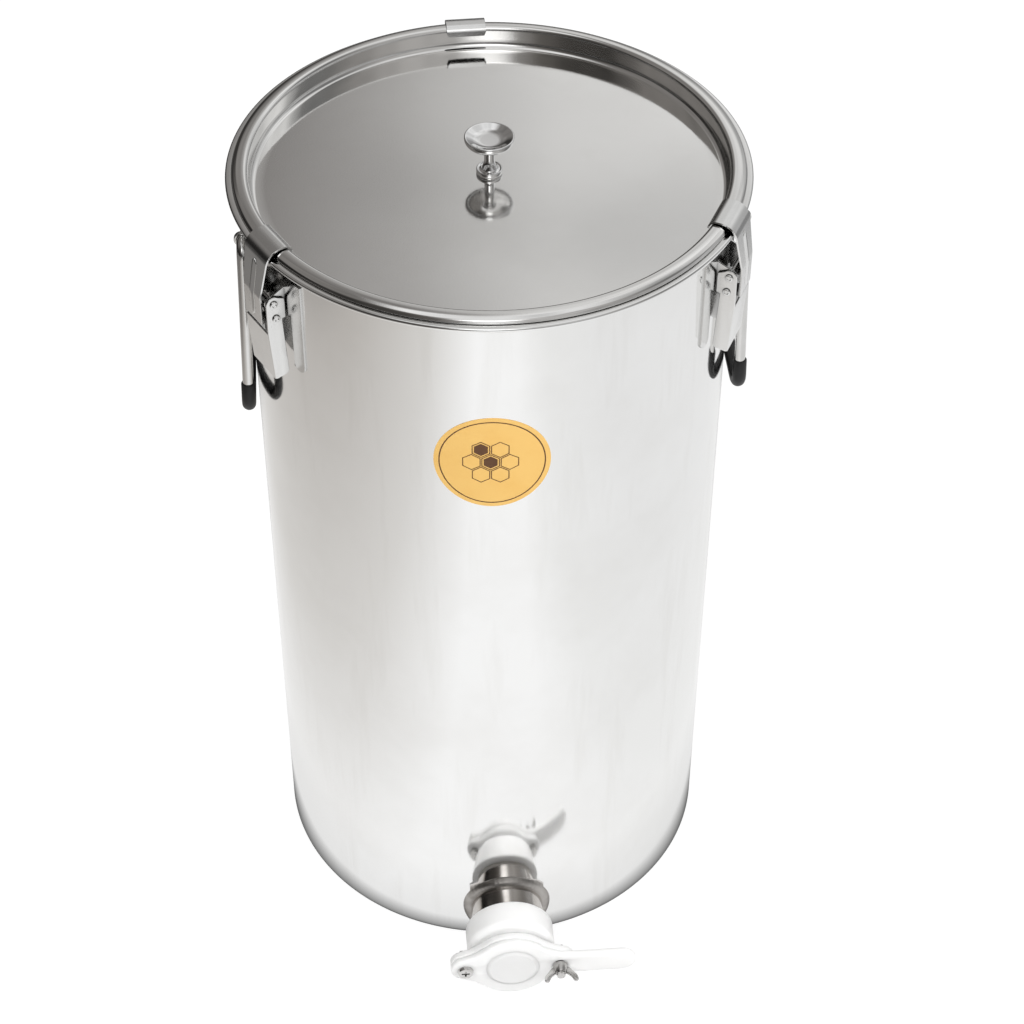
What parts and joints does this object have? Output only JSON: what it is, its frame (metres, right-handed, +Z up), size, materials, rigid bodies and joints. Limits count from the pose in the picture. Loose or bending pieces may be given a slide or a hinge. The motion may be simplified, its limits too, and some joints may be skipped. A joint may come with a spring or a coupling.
{
  "type": "honey settling tank",
  "caption": "Tall round steel honey settling tank with a dished clamp-down lid, toggle latches, bail handles and a white swing-gate tap.",
  "frame": {"origin": "centre of the flat base, on the tank axis", "axes": "+Z up along the tank axis, -Y from the tank axis towards the tap"},
  "size_m": [0.3345, 0.4035, 0.612],
  "materials": {
    "wall_steel": "polished",
    "lid_steel": "satin",
    "knob_chrome": "polished",
    "seal_rubber": "matte",
    "fastener_steel": "satin",
    "tap_plastic": "satin",
    "label_foil": "metallic foil",
    "latch_steel": "satin",
    "rod_steel": "satin",
    "grip_vinyl": "satin"
  },
  "bodies": {
    "tank": {"tank_wall": "wall_steel", "base_pan": "wall_steel", "round_label": "label_foil", "outlet_nipple": "wall_steel", "nipple_gasket": "seal_rubber", "union_nut": "tap_plastic", "valve_body": "tap_plastic", "gate_screw": "fastener_steel", "gate_screw_nut": "fastener_steel", "clamp_bolt": "fastener_steel", "handle_lugs_left": "rod_steel", "handle_lugs_right": "rod_steel", "latch_base_back": "latch_steel", "latch_base_left": "latch_steel", "latch_base_right": "latch_steel", "pivot_pin_back": "latch_steel", "pivot_pin_left": "latch_steel", "pivot_pin_right": "latch_steel"},
    "lid": {"lid_pan": "lid_steel", "lid_seal": "seal_rubber", "lid_knob": "knob_chrome", "knob_washer": "seal_rubber", "knob_screw": "fastener_steel"},
    "lever_back": {"latch_lever_back": "latch_steel", "hook_pin_back": "latch_steel"},
    "hook_back": {"latch_hook_back": "latch_steel"},
    "lever_left": {"latch_lever_left": "latch_steel", "hook_pin_left": "latch_steel"},
    "hook_left": {"latch_hook_left": "latch_steel"},
    "lever_right": {"latch_lever_right": "latch_steel", "hook_pin_right": "latch_steel"},
    "hook_right": {"latch_hook_right": "latch_steel"},
    "handle_left": {"handle_rod_left": "rod_steel", "handle_grip_left": "grip_vinyl"},
    "handle_right": {"handle_rod_right": "rod_steel", "handle_grip_right": "grip_vinyl"},
    "gate": {"valve_gate": "tap_plastic"},
    "wing": {"wing_nut": "fastener_steel"}
  },
  "joints": [
    {"name": "lid_lift", "type": "slide", "parent": "tank", "child": "lid", "axis": [0, 0, 1], "range_m": [0, 0.028]},
    {"name": "lever_back_swing", "type": "hinge", "parent": "tank", "child": "lever_back", "pos_m": [-0.00524, 0.16662, 0.5585], "axis": [0.9995, 0.0314, 0], "range_deg": [0, 42]},
    {"name": "hook_back_swing", "type": "hinge", "parent": "lever_back", "child": "hook_back", "pos_m": [-0.00521, 0.16562, 0.5474], "axis": [-0.9995, -0.0314, 0], "range_deg": [0, 105]},
    {"name": "lever_left_swing", "type": "hinge", "parent": "tank", "child": "lever_left", "pos_m": [-0.14622, -0.08006, 0.5585], "axis": [-0.4803, 0.8771, 0], "range_deg": [0, 42]},
    {"name": "hook_left_swing", "type": "hinge", "parent": "lever_left", "child": "hook_left", "pos_m": [-0.14534, -0.07958, 0.5474], "axis": [0.4803, -0.8771, 0], "range_deg": [0, 105]},
    {"name": "lever_right_swing", "type": "hinge", "parent": "tank", "child": "lever_right", "pos_m": [0.1493, -0.07415, 0.5585], "axis": [-0.4448, -0.8956, 0], "range_deg": [0, 42]},
    {"name": "hook_right_swing", "type": "hinge", "parent": "lever_right", "child": "hook_right", "pos_m": [0.14841, -0.0737, 0.5474], "axis": [0.4448, 0.8956, 0], "range_deg": [0, 105]},
    {"name": "handle_left_swing", "type": "hinge", "parent": "tank", "child": "handle_left", "pos_m": [-0.1578, 0, 0.57], "axis": [0, 1, 0], "range_deg": [0, 140]},
    {"name": "handle_right_swing", "type": "hinge", "parent": "tank", "child": "handle_right", "pos_m": [0.1578, 0, 0.57], "axis": [0, -1, 0], "range_deg": [0, 140]},
    {"name": "gate_swing", "type": "hinge", "parent": "tank", "child": "gate", "pos_m": [-0.0345, -0.2119, 0.034], "axis": [0, -1, 0], "range_deg": [0, 95]},
    {"name": "wing_nut_turn", "type": "hinge", "parent": "tank", "child": "wing", "pos_m": [0.0345, -0.215, 0.034], "axis": [0, -1, 0], "continuous": true}
  ],
  "couplings": [
    {"joint": "lever_back_swing", "follows": "lid_lift", "rad_per_m": 26.18},
    {"joint": "hook_back_swing", "follows": "lid_lift", "rad_per_m": 65.45},
    {"joint": "lever_left_swing", "follows": "lid_lift", "rad_per_m": 26.18},
    {"joint": "hook_left_swing", "follows": "lid_lift", "rad_per_m": 65.45},
    {"joint": "lever_right_swing", "follows": "lid_lift", "rad_per_m": 26.18},
    {"joint": "hook_right_swing", "follows": "lid_lift", "rad_per_m": 65.45}
  ]
}
